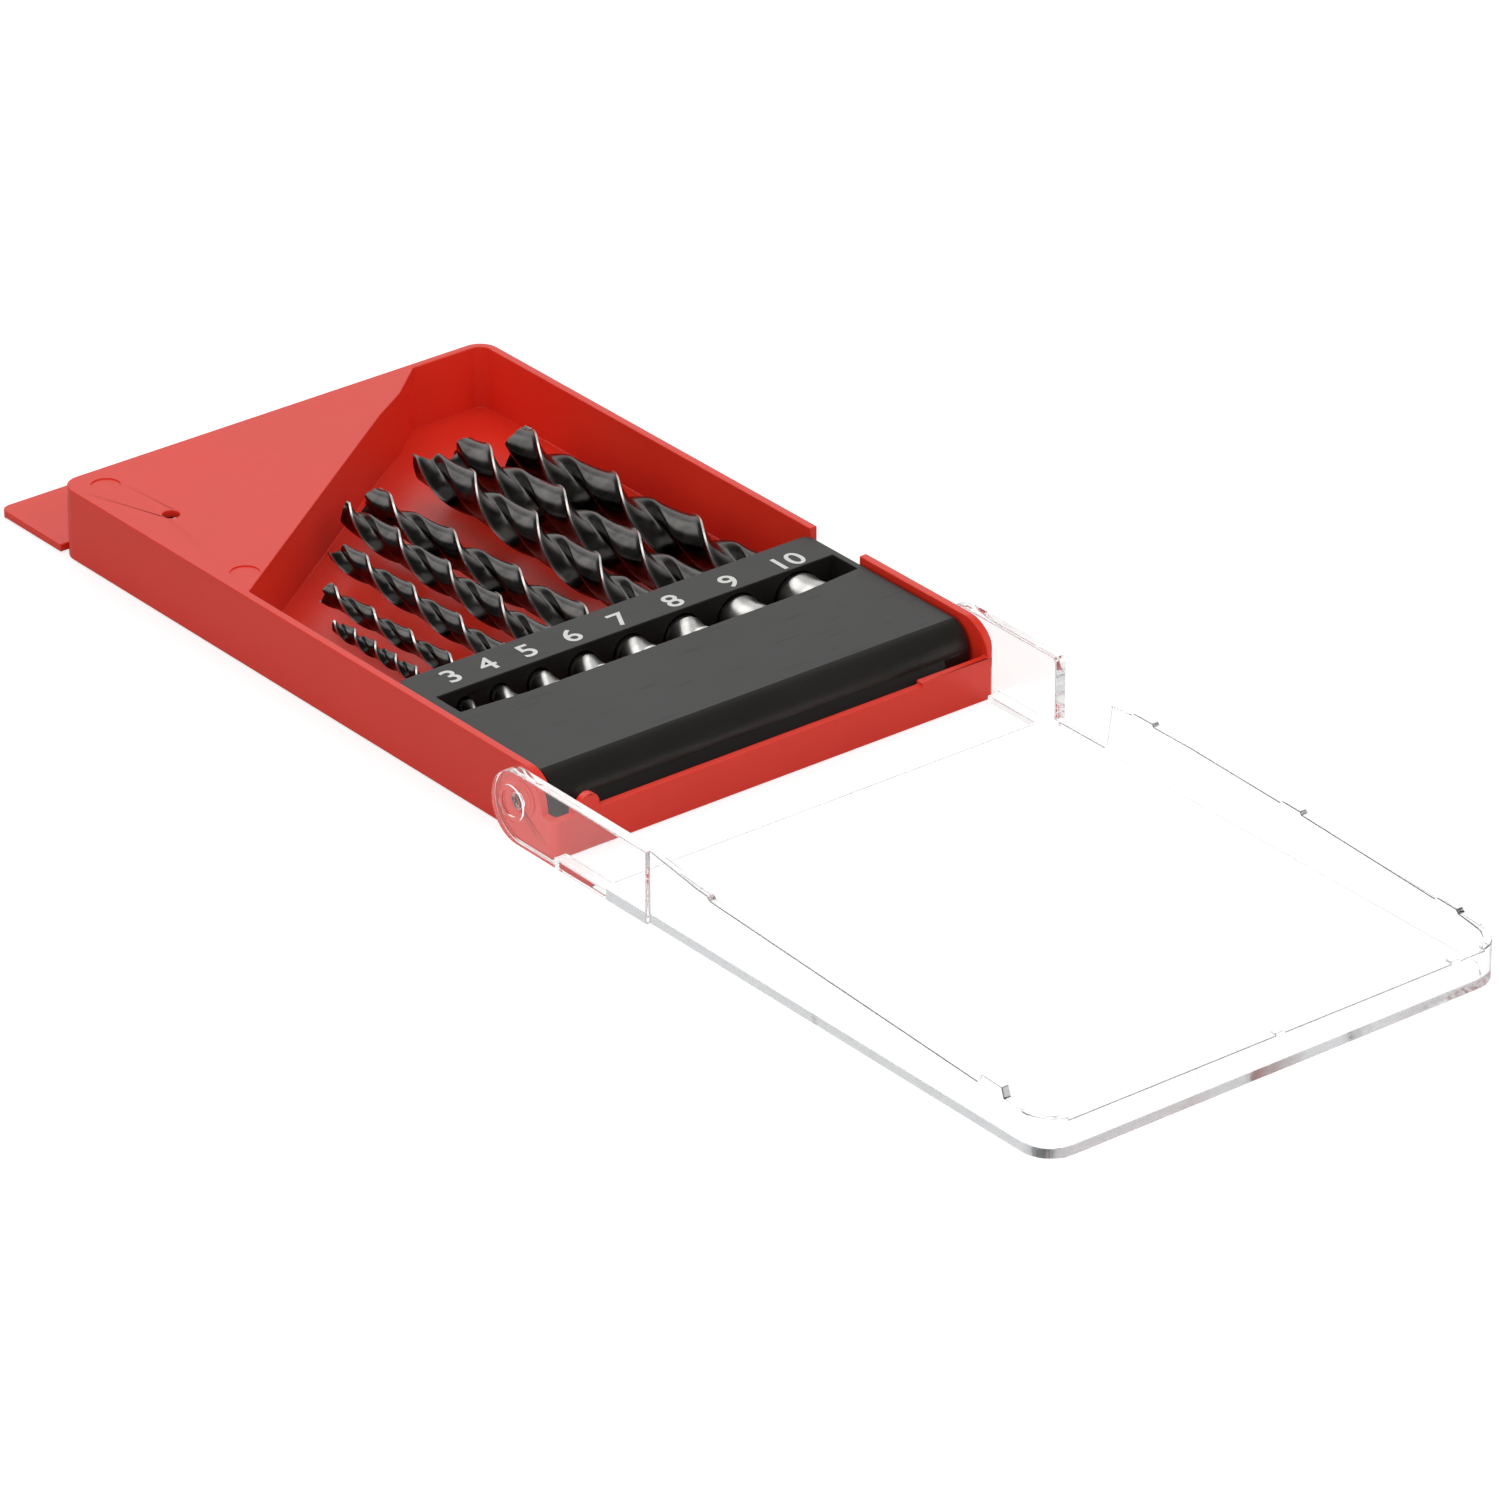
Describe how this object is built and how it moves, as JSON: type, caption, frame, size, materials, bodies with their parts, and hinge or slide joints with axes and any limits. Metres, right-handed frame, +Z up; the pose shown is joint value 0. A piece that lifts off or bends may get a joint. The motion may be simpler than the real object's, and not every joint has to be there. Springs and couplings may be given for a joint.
{
  "type": "drill bit case",
  "caption": "Flat hinged-lid case with a tilting holder and a graded set of brad-point wood drill bits.",
  "frame": {"origin": "middle of the tray's underside, without its back tab, on the table", "axes": "+X across the case from the smallest bit to the largest, +Y from the hinge to the bit tips, +Z up from the table"},
  "size_m": [0.1034, 0.3015, 0.0142],
  "materials": {
    "red_plastic": "moulded, lightly satin",
    "clear_plastic": "clear, polished",
    "black_plastic": "moulded, satin, white painted size numbers",
    "black_steel": "blackened flutes with bright ground edges, bright shank"
  },
  "bodies": {
    "tray": {"tray": "red_plastic"},
    "lid": {"lid": "clear_plastic"},
    "rack": {"rack": "black_plastic"},
    "bit_3mm": {"bit_3mm": "black_steel"},
    "bit_4mm": {"bit_4mm": "black_steel"},
    "bit_5mm": {"bit_5mm": "black_steel"},
    "bit_6mm": {"bit_6mm": "black_steel"},
    "bit_7mm": {"bit_7mm": "black_steel"},
    "bit_8mm": {"bit_8mm": "black_steel"},
    "bit_9mm": {"bit_9mm": "black_steel"},
    "bit_10mm": {"bit_10mm": "black_steel"}
  },
  "joints": [
    {"name": "lid_hinge", "type": "hinge", "parent": "tray", "child": "lid", "pos_m": [0, -0.065, 0.0078], "axis": [-1, 0, 0], "range_deg": [0, 180]},
    {"name": "rack_tilt", "type": "hinge", "parent": "tray", "child": "rack", "pos_m": [0, -0.065, 0.0078], "axis": [-1, 0, 0], "range_deg": [-45, 0]},
    {"name": "bit_3mm_slide", "type": "slide", "parent": "rack", "child": "bit_3mm", "axis": [-0.0051, 0.9999, 0.0105], "range_m": [0, 0.015]},
    {"name": "bit_4mm_slide", "type": "slide", "parent": "rack", "child": "bit_4mm", "axis": [0, 1, -0.0087], "range_m": [0, 0.009]},
    {"name": "bit_5mm_slide", "type": "slide", "parent": "rack", "child": "bit_5mm", "axis": [0.0194, 0.9997, 0.0157], "range_m": [0, 0.006]},
    {"name": "bit_6mm_slide", "type": "slide", "parent": "rack", "child": "bit_6mm", "axis": [0.0279, 0.9995, 0.0157], "range_m": [0, 0.002]},
    {"name": "bit_7mm_slide", "type": "slide", "parent": "rack", "child": "bit_7mm", "axis": [-0.0103, 0.9999, 0.0017], "range_m": [0, 0.003]},
    {"name": "bit_8mm_slide", "type": "slide", "parent": "rack", "child": "bit_8mm", "axis": [0.0418, 0.9989, 0.0209], "range_m": [0, 0.009]},
    {"name": "bit_9mm_slide", "type": "slide", "parent": "rack", "child": "bit_9mm", "axis": [0, 1, 0.007], "range_m": [0, 0.01]},
    {"name": "bit_10mm_slide", "type": "slide", "parent": "rack", "child": "bit_10mm", "axis": [-0.0411, 0.9992, 0], "range_m": [0, 0.01]}
  ]
}
